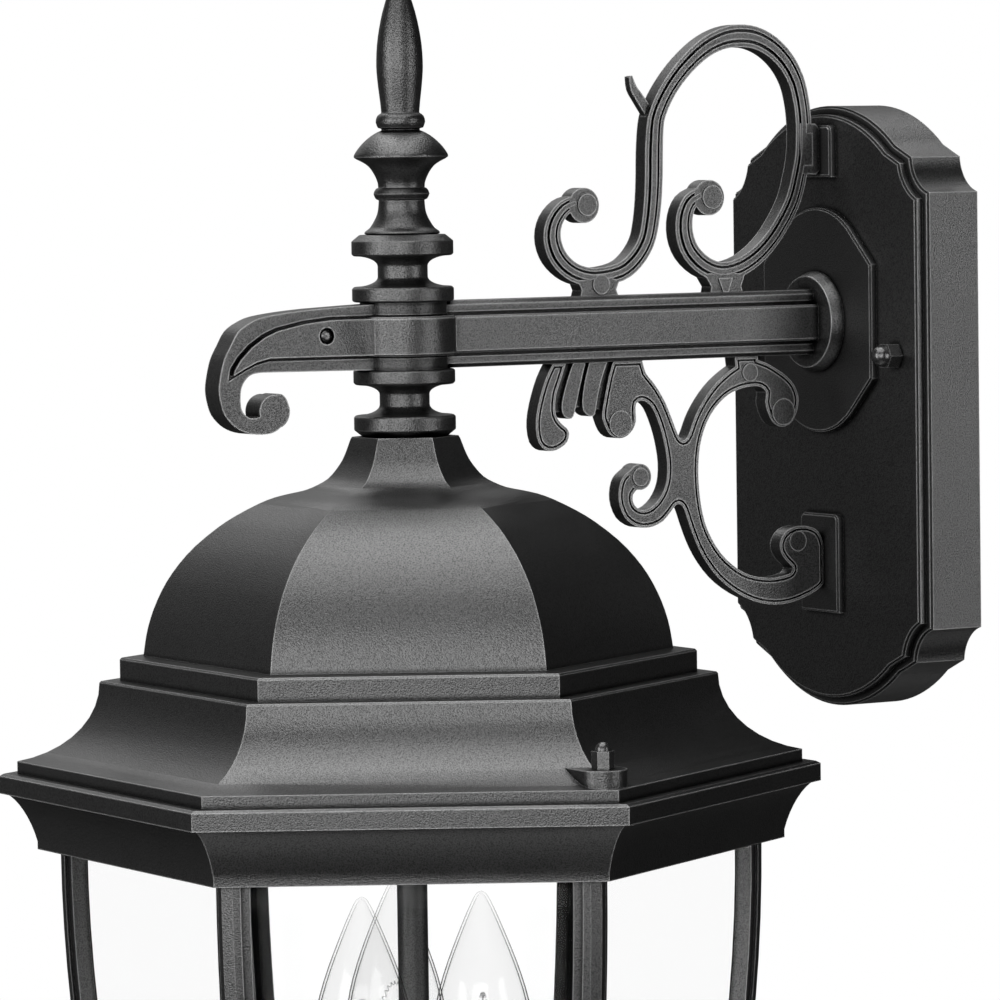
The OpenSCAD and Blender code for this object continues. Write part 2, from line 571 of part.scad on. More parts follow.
// A flat casting with a groove a little inside its outline, so that a rim stands along every edge.
rim_w = 0.9;
rim_groove_w = 0.7;
module grooved(p) {
    side(scroll_w - 2 * relief_h) polygon(p);
    side(scroll_w) difference() {
        polygon(p);
        polygon(grown(p, -rim_w));
    }
    side(scroll_w) polygon(grown(p, -rim_w - rim_groove_w));
}
module lower_scroll() {
    k = drop_k;
    function drawn(p) = [for (q = p) [q[0] - datum[0], (q[1] - datum[1]) * k]];
    function at_y(y) = y - datum[0];
    function at_z(z) = (z - datum[1]) * k;
    w = scroll_w + vein_h + 0.4;
    color(black) difference() {
        translate([0, -pad_front, arm_bot]) {
            grooved(drawn(lower_outline));
            grooved(drawn(curve(leaf_1, 2)));
            side(scroll_w) polygon(drawn(curve(leaf_2, 2)));
            side(scroll_w) polygon(drawn(curve(leaf_3, 2)));
            // Web that ties the leaves to the stem.
            side(scroll_w - 3) polygon(drawn([[-136, 18.7], [-137.5, 8], [-136, 2], [-124, 4],
                [-117, 2], [-112, 18.7]]));
            disc(at_y(-103), at_z(-21.3), 4.5, scroll_w);
            disc(at_y(-103), at_z(-21.3), 3.2, w);
            disc(at_y(-110.8), at_z(-2.7), 4.6, w);
            disc(at_y(-43.8), at_z(-1), 4.7, w);
            disc(at_y(-57.5), at_z(13.2), 3.2, w);
            disc(at_y(-38.3), at_z(-46.5), 3.6, w);
        }
        rod_y(screw_r, pad_front - 1, pad_front + screw_depth, 0, lower_screw_z);
    }
}
module scroll_screws() {
    color(steel) for (z = [upper_screw_z, lower_screw_z]) {
        rod_y(screw_r, plate_d - plate_wall - nip, pad_front + screw_depth, 0, z);
        difference() {
            rod_y(3.5, plate_d - plate_wall - 2.4, plate_d - plate_wall, 0, z);
            out(plate_d - plate_wall - 3, plate_d - plate_wall - 1.2) translate([-4, z - 0.5]) square([8, 1]);
        }
    }
}

// Turned parts. Radii of the finial's profile are at its set diameter, heights at its set height.
finial_foot = [[11.5, 0], [12.6, 0.3], [12.4, 1.1], [10.9, 2.2], [9.4, 4.5], [8.4, 6.6], [7.9, 8.7],
    [7.7, 11.5]];
finial_bead = [[8.6, 11.9], [9.4, 13.6], [8.6, 15.3], [7.8, 15.7]];
finial_bell = [[7.9, 17.1], [8.4, 18.7], [9.5, 20.9], [11, 22.9], [13, 24.3], [15, 25.3]];
finial_cap = [[15.8, 25.9], [15.8, 26.5], [15.3, 27.5], [14, 29.3], [12.2, 31.2], [10, 33], [7.6, 34.4],
    [6.5, 34.8], [6.5, 35.4]];
finial_collar = [[7.6, 35.7], [8.3, 37.6], [7.8, 39.6], [6.5, 40.6]];
finial_spear = [[6.4, 40.9], [6.7, 44.3], [7.3, 49.3], [7.75, 54.3], [7.8, 58.3], [7.5, 63.3], [6.7, 68.8],
    [5.5, 74.3], [3.7, 80.3], [1.9, 86.3], [0.9, 89.3], [0, 90.3]];
module finial() {
    sx = finial_d / 31.6;
    sz = finial_h / 90.3;
    profile = concat([[0, 0]], curve(finial_foot, 2), curve(finial_bead, 2), curve(finial_bell, 2),
        curve(finial_cap, 2), curve(finial_collar, 2), curve(finial_spear, 2));
    color(black) at_axis() translate([0, 0, finial_z]) difference() {
        rotate_extrude() polygon([for (q = profile) [q[0] * sx, q[1] * sz]]);
        translate([0, 0, -1]) cylinder(r = stem_r, h = finial_bore + 1);
    }
}
finial_bore = 18;
module spool() {
    f = spool_d / 2;
    w = spool_waist_d / 2;
    cove = f - 0.7 - w;
    color(black) difference() {
        rotate_extrude() polygon(concat([[0, 0], [f - 0.7, 0], [f, 0.5], [f, 4.4]],
            [for (t = [0:10:90]) [f - 0.7 - cove * sin(t), 8.4 - 3.3 * cos(t)]],
            [for (t = [90:-10:0]) [f - 0.7 - cove * sin(t), spool_h - 10.6 + 3.5 * cos(t)]],
            [[f, spool_h - 6.5], [f, spool_h - 2.2], [f - 2.7, spool_h], [0, spool_h]]));
        translate([0, 0, -1]) cylinder(r = stem_hole_r, h = spool_h + 2);
    }
}
module upper_spool() {
    at_axis() translate([0, 0, arm_top]) spool();
}
module lower_spool() {
    at_axis() translate([0, 0, arm_bot]) mirror([0, 0, 1]) spool();
}
stem_top = finial_z + finial_bore;
stem_foot = bottom_z - pan_t - 15;
module stem_pipe() {
    color(black) at_axis() translate([0, 0, stem_foot]) difference() {
        cylinder(r = stem_r, h = stem_top - stem_foot);
        translate([0, 0, -1]) cylinder(r = stem_r - stem_wall, h = stem_top - stem_foot + 2);
    }
}

// Roof profile, as distance to a corner and depth below its top.
dome_shape = [[0, 0], [0.02, 0.045], [0.05, 0.09], [0.09, 0.135], [0.14, 0.165], [0.2, 0.19],
    [0.27, 0.205], [0.35, 0.224], [0.43, 0.255], [0.54, 0.312], [0.63, 0.37], [0.74, 0.46],
    [0.82, 0.547], [0.882, 0.635], [0.928, 0.724], [0.962, 0.812], [0.985, 0.9], [1, 1]];
function dome(dr, dz) = [for (q = curve(dome_shape, 2))
    [neck_r + q[0] * (dome_r - neck_r) + dr, -neck_h - q[1] * dome_h + dz]];
// The skirt's section is part of an ellipse that would turn level a little outside the edge.
skirt_over = 7.6;
skirt_end = acos(skirt_over / (skirt_w + skirt_over));
skirt_drop = skirt_h / sin(skirt_end);
function skirt(t, e) = [eave_r + skirt_over - (skirt_w + skirt_over + e) * cos(t),
    skirt_z - roof_z - (skirt_drop + e) * sin(t)];
module roof_shell() {
    edge = eave_z - roof_z;
    sk = skirt_z - roof_z;
    st = step_z - roof_z;
    wall = roof_wall;
    difference() {
        rotate_extrude($fn = 6) polygon(concat([[0, 0], [neck_r - 2, 0], [neck_r - 1.4, -1]], dome(0, 0),
            [[step_r - 0.7, st - 0.4], [step_r, st - 1.1], [step_r, sk + 0.6], [skirt_r - 0.6, sk + 0.6]],
            [for (i = [0:9]) skirt(i * skirt_end / 9, 0)], [[eave_r, edge], [0, edge]]));
        rotate_extrude($fn = 6) polygon(concat([[0, -5], [neck_r - 6, -5]],
            dome(-0.6 * wall, -0.85 * wall),
            [[step_r - wall, st - wall], [step_r - wall, sk - wall]],
            [for (i = [1:8]) skirt(i * skirt_end / 9, wall)], [[eave_r - 4, edge - 1], [0, edge - 1]]));
    }
}
lug_top = eave_z + 10;
module roof() {
    color(black) at_axis() difference() {
        union() {
            translate([0, 0, roof_z]) roof_shell();
            for (s = [0, 180]) rotate([0, 0, s]) translate([0, 0, eave_z]) {
                translate([lug_x, 0, 0]) cylinder(r = lug_w / 2, h = lug_top - eave_z);
                translate([lug_x - 14, -lug_w / 2, 0]) cube([14, lug_w, lug_top - eave_z]);
            }
        }
        translate([0, 0, roof_z - 10]) cylinder(r = stem_hole_r, h = 20);
        both_x(lug_x) translate([0, 0, eave_z - 1]) cylinder(r = stud_r + 0.2, h = 40);
    }
}
module roof_locknut() {
    color(steel) at_axis() translate([0, 0, roof_z - 10]) difference() {
        cylinder(r = 17 / sqrt(3), h = 5, $fn = 6);
        translate([0, 0, -1]) cylinder(r = stem_r, h = 8);
    }
}

// Crown, posts and base ring of the cage, one casting.
flange_r = (pane_r0 - glass_t - 3) / cos(30);
// The cove stands nearly upright at its foot and turns out level under the band.
function crown_cove(t, wall) = let (u = sin(t) * 0.97, foot = crown_wall - 0.3 - crown_h)
    [crown_foot_r - wall + (crown_r - crown_foot_r) * (0.36 * u + 0.64 * (1 - sqrt(1 - u * u))),
        foot - (foot + crown_band_h) * sin(t)];
module crown() {
    w = crown_wall;
    foot = crown_foot_r;
    cove = [for (t = [90:-10:0]) crown_cove(t, 0)];
    inner = [for (t = [10:10:70]) crown_cove(t, w)];
    rotate_extrude($fn = 6) polygon(concat([[crown_r - 14, 0], [crown_r - 1.6, 0], [crown_r, -0.8],
        [crown_r, -crown_band_h]], cove, [[foot, w - crown_h - 0.3], [foot - w - 4, w - crown_h - 0.3]],
        inner, [[crown_r - 7, -w - 1], [crown_r - 14, -w]]));
    // Flat flange that the posts and the glass meet.
    translate([0, 0, -crown_h]) hex_ring(foot, flange_r, w);
}
module post_section() {
    r = post_curve_r;
    right = [for (q = post_half) [r - q[0], q[1]]];
    polygon(concat(right, [[r - notch, 0]], [for (q = turned(post_half)) [r - q[0], -q[1]]]));
}
module post() {
    rise = asin(1.5 / post_curve_r);
    turn = asin((cage_h + 3) / post_curve_r);
    translate([post_nose_r - post_curve_r, 0, foot_z]) rotate([-90, 0, 0]) rotate([0, 0, -rise])
        rotate_extrude(angle = turn + rise, $fn = 360) post_section();
}
module hex_ring(outer, inner, h) {
    linear_extrude(h) difference() {
        circle(outer, $fn = 6);
        circle(inner, $fn = 6);
    }
}
module base_ring() {
    r = post_foot_r + 5.5;
    seat = (pane_foot_r + 2) / cos(30);
    translate([0, 0, base_z]) {
        hex_ring(r, seat, 3);
        translate([0, 0, -2.5]) hex_ring(r, seat - 14, 2.5 + nip);
        rotate_extrude($fn = 6) polygon([[r, -2.5], [r - 2.5, -4.5], [r - 4, -7], [r - 4.4, 3 - base_h],
            [seat - 14, 3 - base_h], [seat - 14, -2.5]]);
    }
}
module cage() {
    color(black) at_axis() difference() {
        union() {
            translate([0, 0, eave_z]) crown();
            for (a = [0:60:300]) rotate([0, 0, a]) post();
            base_ring();
            both_x(lug_x) translate([0, 0, eave_z - 8]) cylinder(r = 5, h = 8);
        }
        both_x(lug_x) translate([0, 0, eave_z - 7]) cylinder(r = stud_r, h = 8);
    }
}
module cage_studs() {
    color(steel) at_axis() both_x(lug_x) translate([0, 0, eave_z - 7]) cylinder(r = stud_r, h = 7 + 10 + 5);
}
module roof_cap_nuts() {
    color(black) at_axis() both_x(lug_x) translate([0, 0, lug_top])
        cap_nut(stud_d * 1.6, 5.8, stud_d * 0.62, 2.9, stud_r, 5);
}

// One bent pane: a plate swept round a level axis and cut to a sixth of a turn.
pane_top_gap = 0.3;
module glass_pane(k) {
    turn = asin(cage_h / pane_curve_r) + 0.5;
    reach = pane_r0 * tan(30);
    color(clear, 0.35) at_axis() rotate([0, 0, 60 * k - 30]) intersection() {
        translate([pane_r0 - pane_curve_r, 0, foot_z]) rotate([-90, 0, 0])
            rotate_extrude(angle = turn, $fn = 360)
                translate([pane_curve_r - glass_t, -reach]) square([glass_t, 2 * reach]);
        translate([0, 0, base_z]) linear_extrude(cage_h - pane_top_gap)
            polygon([[glass_gap / sin(30), 0], [200, (200 - glass_gap / sin(30)) * tan(30)],
                [200, -(200 - glass_gap / sin(30)) * tan(30)]]);
    }
}
module glass_pane_1() { glass_pane(1); }
module glass_pane_2() { glass_pane(2); }
module glass_pane_3() { glass_pane(3); }
module glass_pane_4() { glass_pane(4); }
module glass_pane_5() { glass_pane(5); }
module glass_pane_6() { glass_pane(6); }
// Three-cornered clips that hold each pane's upper corners from inside.
module glass_clips() {
    u = pane_r0 * tan(30) - 8;
    color(black) at_axis() for (k = [1:6]) rotate([0, 0, 60 * k - 30]) for (s = [-1, 1])
        translate([pane_r0 - glass_t - 1.2, 0, foot_z]) rotate([90, 0, 90]) linear_extrude(1)
            polygon([[s * u, 0], [s * (u + 2.8), 0], [s * u, -4.4]]);
}

// Lamps: three candle sleeves on one cluster.
module at_lamp(k) {
    at_axis() rotate([0, 0, 120 * k - 75]) translate([lamp_r, 0, 0]) children();
}
module cluster_body() {
    color(black) difference() {
        union() {
            at_axis() translate([0, 0, sleeve_z - cluster_t]) cylinder(r = 14, h = cluster_t);
            for (k = [1:3]) {
                at_lamp(k) translate([0, 0, sleeve_z - cluster_t]) cylinder(r = sleeve_d / 2, h = cluster_t);
            }
        }
        at_axis() translate([0, 0, sleeve_z - cluster_t - 1]) cylinder(r = stem_r, h = cluster_t + 2);
    }
}
holder_h = sleeve_h - 4;
module lampholder(k) {
    color(ivory) at_lamp(k) translate([0, 0, sleeve_z]) difference() {
        cylinder(r = sleeve_d / 2 - 1.3, h = holder_h);
        translate([0, 0, holder_h - 20]) cylinder(r = cap_d / 2 + 0.1, h = 21);
    }
}
module lampholder_1() { lampholder(1); }
module lampholder_2() { lampholder(2); }
module lampholder_3() { lampholder(3); }
module candle_sleeve(k) {
    color(black) at_lamp(k) translate([0, 0, sleeve_z]) difference() {
        cylinder(r = sleeve_d / 2, h = sleeve_h);
        translate([0, 0, -1]) cylinder(r = sleeve_d / 2 - 1, h = sleeve_h + 2);
    }
}
module candle_sleeve_1() { candle_sleeve(1); }
module candle_sleeve_2() { candle_sleeve(2); }
module candle_sleeve_3() { candle_sleeve(3); }
// Bulb profile: radius at the set diameter, depth below the tip at the set height.
bulb_shape = [[0, 0], [1.6, 0.8], [2.7, 2.5], [4, 5.2], [5.7, 9], [8.6, 16], [11.7, 24], [14.6, 33],
    [16.6, 42], [17.3, 50], [16.6, 58], [14.4, 66], [11.4, 74], [8, 80.5], [5.4, 84]];
module bulb(k) {
    sx = bulb_d / 34.6;
    sz = bulb_h / 84;
    shape = curve([for (q = bulb_shape) [q[0] * sx, -q[1] * sz]], 2);
    n = len(shape) - 1;
    color(clear, 0.3) at_lamp(k) translate([0, 0, bulb_tip_z]) rotate_extrude() polygon(concat(shape,
        [[shape[n][0], -bulb_h - 3], [shape[n][0] - 0.8, -bulb_h - 3]],
        [for (i = [n:-1:1]) [max(0, shape[i][0] - 0.8), shape[i][1] - 0.4]], [[0, -1.2]]));
}
module bulb_1() { bulb(1); }
module bulb_2() { bulb(2); }
module bulb_3() { bulb(3); }
module bulb_cap(k) {
    r = bulb_shape[len(bulb_shape) - 1][0] * bulb_d / 34.6;
    color(brass) at_lamp(k) translate([0, 0, cap_z - cap_h]) difference() {
        union() {
            cylinder(r = cap_d / 2 - 2.2, h = 2);
            translate([0, 0, 2]) cylinder(r = cap_d / 2, h = cap_h - 2);
        }
        translate([0, 0, cap_h - 3]) cylinder(r = min(r, cap_d / 2 - 0.3), h = 4);
    }
}
module bulb_cap_1() { bulb_cap(1); }
module bulb_cap_2() { bulb_cap(2); }
module bulb_cap_3() { bulb_cap(3); }

// Foot of the lantern: a hexagonal pan under the base ring and the nut that closes the stem.
module bottom_pan() {
    r = post_foot_r - 2;
    color(black) at_axis() translate([0, 0, bottom_z]) difference() {
        rotate_extrude($fn = 6) polygon([[0, 0], [r, 0], [r, -1], [r - 4, -pan_t], [0, -pan_t]]);
        translate([0, 0, -pan_t - 1]) cylinder(r = stem_hole_r, h = pan_t + 2);
    }
}
module bottom_finial() {
    color(black) at_axis() translate([0, 0, bottom_z - pan_t]) difference() {
        rotate_extrude() polygon(concat([[0, 0], [12, 0]], curve([[12, -1.5], [10, -3.5], [8.4, -7],
            [9, -10.5], [11, -14], [11.4, -17.5], [9.6, -22], [6, -25.4], [3.4, -27.6], [2.2, -30.5],
            [0, -33]], 2)));
        translate([0, 0, -15]) cylinder(r = stem_r, h = 16);
    }
}

wall_plate();
mounting_strap();
strap_studs();
plate_cap_nuts();
ground_screw();
arm();
arm_nipple();
arm_locknut();
upper_scroll();
lower_scroll();
scroll_screws();
hook_screw();
finial();
upper_spool();
lower_spool();
stem_pipe();
roof();
roof_locknut();
cage();
cage_studs();
roof_cap_nuts();
glass_pane_1();
glass_pane_2();
glass_pane_3();
glass_pane_4();
glass_pane_5();
glass_pane_6();
glass_clips();
cluster_body();
lampholder_1();
lampholder_2();
lampholder_3();
candle_sleeve_1();
candle_sleeve_2();
candle_sleeve_3();
bulb_1();
bulb_2();
bulb_3();
bulb_cap_1();
bulb_cap_2();
bulb_cap_3();
bottom_pan();
bottom_finial();
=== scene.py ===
# %% [markdown]
# # A wall lantern, dressed for its portrait
# The lantern's shapes come from a imported CAD model, which this script loads as a fixed frame.
# What is left for Blender is what the eye reads first: a sandy black powder coat with painted shade
# in its grooves and painted highlights on its edges, clear bent glass, the works inside the bulbs,
# and a soft studio light.
# Every length is in metres. The wall is the plane y = 0 and the lantern hangs on its -y side.

# %% Load the frame
import json
from math import cos, pi, radians, sin

import bmesh
import bpy
from mathutils import Matrix, Vector


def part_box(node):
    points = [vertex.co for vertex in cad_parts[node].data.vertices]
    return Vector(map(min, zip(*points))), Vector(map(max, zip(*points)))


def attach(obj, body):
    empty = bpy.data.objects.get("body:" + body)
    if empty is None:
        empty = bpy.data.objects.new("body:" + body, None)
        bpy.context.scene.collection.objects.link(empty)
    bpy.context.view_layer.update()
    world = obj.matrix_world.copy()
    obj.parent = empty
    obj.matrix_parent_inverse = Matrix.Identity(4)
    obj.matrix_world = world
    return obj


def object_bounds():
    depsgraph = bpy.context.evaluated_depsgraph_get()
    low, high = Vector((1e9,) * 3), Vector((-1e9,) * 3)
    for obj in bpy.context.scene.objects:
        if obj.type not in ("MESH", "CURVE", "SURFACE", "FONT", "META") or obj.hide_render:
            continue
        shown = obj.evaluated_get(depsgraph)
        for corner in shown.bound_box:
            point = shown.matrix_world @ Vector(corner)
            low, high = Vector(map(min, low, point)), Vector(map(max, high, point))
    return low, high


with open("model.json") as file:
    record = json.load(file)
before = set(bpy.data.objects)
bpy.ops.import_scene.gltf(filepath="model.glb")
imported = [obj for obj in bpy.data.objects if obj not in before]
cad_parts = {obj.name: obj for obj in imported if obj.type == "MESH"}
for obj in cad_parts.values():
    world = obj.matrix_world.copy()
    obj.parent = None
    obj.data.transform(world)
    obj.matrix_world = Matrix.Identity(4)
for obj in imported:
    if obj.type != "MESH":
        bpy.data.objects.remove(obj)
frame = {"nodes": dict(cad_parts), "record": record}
cad_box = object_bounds()
nodes = frame["nodes"]
scene = bpy.context.scene
print("loaded", len(nodes), "nodes, box", [tuple(round(c, 4) for c in p) for p in cad_box])

# %% [markdown]
# ## The camera
# A long lens keeps a product's lines nearly parallel. The place and tilt below were solved from
# points of the photograph whose true position is known, such as the corners of the hexagonal roof.
# A camera looks along its own -Z axis, so its matrix is built from three directions: right, up and
# backwards.

# %% Camera
camera = bpy.data.objects.new("camera", bpy.data.cameras.new("camera"))
scene.collection.objects.link(camera)
scene.camera = camera
camera.data.sensor_width = 36
camera.data.lens = 205.27
camera.data.clip_start = 0.1
camera.data.clip_end = 30

stand = Vector((1.6581, -1.1482, 0.0733))
turn, tilt, roll = radians(59.126), radians(-3.534), radians(-0.821)
ahead = Vector((-sin(turn) * cos(tilt), cos(turn) * cos(tilt), sin(tilt)))
right = Vector((cos(turn), sin(turn), 0))
up = right.cross(ahead)
right, up = right * cos(roll) + up * sin(roll), up * cos(roll) - right * sin(roll)
axes = Matrix((right, up, -ahead)).transposed().to_4x4()
camera.matrix_world = Matrix.Translation(stand) @ axes
print("camera looks along", tuple(round(c, 3) for c in ahead))

# %% [markdown]
# ## The studio
# A black gloss shows its form by what it mirrors, so each lamp is placed by reflection. A face
# mirrors the direction that lies as far beyond its normal as the camera lies before it. The
# photograph gives the brightness of each face, and that gives the brightness of each softbox:
# - the camera box lights all that faces the camera, the left box the left flanks of round pieces;
# - the right box is what the arm, the scrolls and the side of the wall plate mirror;
# - the top and back boxes lie on the dome and on every upward edge;
# - a dim card far on the left keeps the faces that look that way just off black.
# Nothing stands on the wall side, so faces turned there stay nearly black, as in the photograph.
# A helper takes azimuth, elevation and the brightness of the lamp's face, because that brightness
# is what a mirror shows, and works out the watts.

# %% Softboxes
middle = (cad_box[0] + cad_box[1]) / 2


def softbox(name, azimuth, elevation, distance, size, brightness):
    lamp = bpy.data.objects.new(name, bpy.data.lights.new(name, "AREA"))
    scene.collection.objects.link(lamp)
    lamp.data.shape = "RECTANGLE"
    lamp.data.size, lamp.data.size_y = size
    lamp.data.energy = brightness * pi * size[0] * size[1]
    a, e = radians(azimuth), radians(elevation)
    aim = Vector((cos(a) * cos(e), sin(a) * cos(e), sin(e)))
    lamp.location = middle + aim * distance
    lamp.rotation_euler = aim.to_track_quat("Z", "Y").to_euler()


softbox("left_softbox", -86, 8, 2.2, (1.2, 1.7), 3.5)
softbox("camera_softbox", -38, 10, 2.6, (2.1, 1.65), 3.0)
softbox("right_softbox", 28, 6, 2.3, (0.8, 1.3), 3.5)
softbox("top_softbox", -58, 75, 2.1, (2.4, 2.1), 2.3)
softbox("back_softbox", 157, 66, 2.1, (2.0, 1.7), 1.9)
softbox("far_left_card", -145, -8, 2.4, (2.0, 2.0), 0.06)

# %% [markdown]
# ## Shader maths as Python
# A shader is a net of nodes. Writing it node by node hides the sum that it does, so a small class
# wraps a socket and turns +, -, * and ** into Math nodes. `1 - mask` works too, through the
# reflected forms.

# %% A socket that does arithmetic
def plug(slot, value):
    if isinstance(value, Wire):
        slot.id_data.links.new(value.socket, slot)
    else:
        slot.default_value = value


class Wire:
    def __init__(self, socket):
        self.socket = socket

    def maths(self, operation, *values):
        node = self.socket.id_data.nodes.new("ShaderNodeMath")
        node.operation = operation
        for slot, value in zip(node.inputs, values):
            plug(slot, value)
        return Wire(node.outputs[0])

    def __add__(self, other): return self.maths("ADD", self, other)
    def __radd__(self, other): return self.maths("ADD", other, self)
    def __sub__(self, other): return self.maths("SUBTRACT", self, other)
    def __rsub__(self, other): return self.maths("SUBTRACT", other, self)
    def __mul__(self, other): return self.maths("MULTIPLY", self, other)
    def __rmul__(self, other): return self.maths("MULTIPLY", other, self)
    def __pow__(self, other): return self.maths("POWER", self, other)
    def at_most(self, top): return self.maths("MINIMUM", self, top)
    def at_least(self, low): return self.maths("MAXIMUM", self, low)
    def as_mask(self): return self.at_least(0.0).at_most(1.0)


print("sockets can add, subtract, multiply and raise")

# %% [markdown]
# ## One method for every other node
# What is not arithmetic, such as a noise or a ramp, comes from `Net.node`. It takes the node's
# type, its settings and the values or links of its sockets, and gives back one output as a `Wire`.
# A `Finish` is a net that belongs to a material, with a short way to set its shader's sockets.

# %% Nets and finishes
def lay_stops(ramp, stops):
    for spare in list(ramp.elements)[1:]:
        ramp.elements.remove(spare)
    ramp.elements[0].position, ramp.elements[0].color = stops[0]
    for place, colour in stops[1:]:
        ramp.elements.new(place).color = colour


class Net:
    def __init__(self, tree):
        self.tree = tree

    def node(self, kind, settings=None, inputs=None, out=0):
        node = self.tree.nodes.new("ShaderNode" + kind)
        for key, value in (settings or {}).items():
            if key == "stops":
                lay_stops(node.color_ramp, value)
            else:
                setattr(node, key, value)
        for key, value in (inputs or {}).items():
            plug(node.inputs[key], value)
        return Wire(node.outputs[out])


class Finish(Net):
    def __init__(self, name, **constants):
        self.material = bpy.data.materials.new(name)
        self.material.use_nodes = True
        super().__init__(self.material.node_tree)
        self.shader = self.tree.nodes["Principled BSDF"]
        self.set(**constants)

    def set(self, **values):
        for key, value in values.items():
            plug(self.shader.inputs[key.replace("_", " ")], value)


def grey(level, of=1.0):
    return (level * of, level * of, level * of, 1)


print("helpers ready")

# %% [markdown]
# ## White backdrop, dim room
# `Is Camera Ray` is 1 only for what the camera sees directly, and `Is Transmission Ray` for what
# it sees through glass. There the world is a white of strength 1, which lights nothing. A black
# gloss must not mirror that white, or all its faces turn the same grey, so mirrors see a dim room
# with one pale patch high behind the lantern: the dot product of the ray's direction with the
# patch's gives a soft round spot, and a power makes it narrower. The panes and bulbs pass a ray
# many times, so the limit on transparent bounces goes up, or the glasses turn black where they
# overlap.

# %% World
ROOM = 0.03             # light of the dim room
PATCH = 0.7             # light in the middle of the patch
PATCH_EDGE = 12.0       # how fast the patch fades outwards
PATCH_WAY = Vector((-0.85, 0.15, 0.5)).normalized()

scene.view_settings.view_transform = "Standard"
scene.cycles.transparent_max_bounces = 40
scene.world = bpy.data.worlds.new("studio")
scene.world.use_nodes = True
room = Net(scene.world.node_tree)
direction = room.node("TexCoord", out="Generated")
facing = room.node("VectorMath", {"operation": "DOT_PRODUCT"},
    {0: direction, 1: PATCH_WAY}, out="Value")
patch = facing.at_least(0.0) ** PATCH_EDGE
seen = (room.node("LightPath", out="Is Camera Ray")
    + room.node("LightPath", out="Is Transmission Ray")).at_most(1.0)
mirrored = room.node("LightPath", out="Is Glossy Ray") * patch * PATCH
background = room.tree.nodes["Background"]
plug(background.inputs["Color"], (1, 1, 1, 1))
plug(background.inputs["Strength"], ROOM + seen * (1 - ROOM) + mirrored * (1 - seen))
print("world set")

# %% [markdown]
# ## The floor
# A wall lantern hangs above head height, so the pale floor lies more than two metres below it and
# lights its undersides only a little.

# %% Floor
FLOOR_Z, HALF = -2.6, 2.0
floor_mesh = bpy.data.meshes.new("floor")
corners = [(x, y, FLOOR_Z) for x, y in ((-HALF, -HALF), (HALF, -HALF), (HALF, HALF), (-HALF, HALF))]
floor_mesh.from_pydata(corners, [], [(0, 1, 2, 3)])
floor_mesh.materials.append(Finish("pale_floor", Base_Color=grey(0.8), Roughness=0.7).material)
floor = bpy.data.objects.new("floor", floor_mesh)
scene.collection.objects.link(floor)
print("floor", floor.dimensions[:])

# %% [markdown]
# ## Black powder coat
# Powder is sprayed dry and melts into a hard skin with a sandy grain. It is a dark dielectric:
# almost no colour of its own, and a broad soft sheen. A fine noise does the grain twice, as small
# bumps and as dull specks, and a slow one shifts the gloss and the shade a little.
# A surface that is metallic and black mirrors almost nothing, so Metallic serves as the amount of
# dullness. That keeps every varying value on a socket that an export can bake.
# Every edge gets a painted highlight, a lighter grey in Base Color, and every groove gets painted
# shade, as full dullness on Metallic. A Bevel node turns the normal near an edge, so its angle to
# the true normal finds the edges, and Ambient Occlusion finds the grooves. The arm and the scrolls
# are carved all over, and get more painted highlight and painted shade.

# %% Powder coat
SAND = 2100.0           # grains per metre
SAND_HEIGHT = 0.0004
SPECK = 0.42            # sand above this level is a dull speck
SPECK_GAIN = 2.0        # how fast a speck gets duller
DULLEST = 0.6           # the dullness of the dullest speck
DRIFT = 45.0            # slow changes per metre
GLOSS_DRIFT = 0.08      # how much they change the roughness
PALER = 1.25            # how much they lighten the shade
OPEN_SKY = 0.92         # a point that sees less of the sky lies in a groove and gets painted shade
GROOVE_SHADE_GAIN = 3.0       # how fast the painted shade in a groove deepens
EDGE_GAIN = 10.0        # how fast a turned normal becomes painted highlight
EDGE_LOSS = 0.15        # taken off it, so that flat faces get no painted highlight
EDGE_HIGHLIGHT = grey(0.5)        # the grey of the painted edge highlight


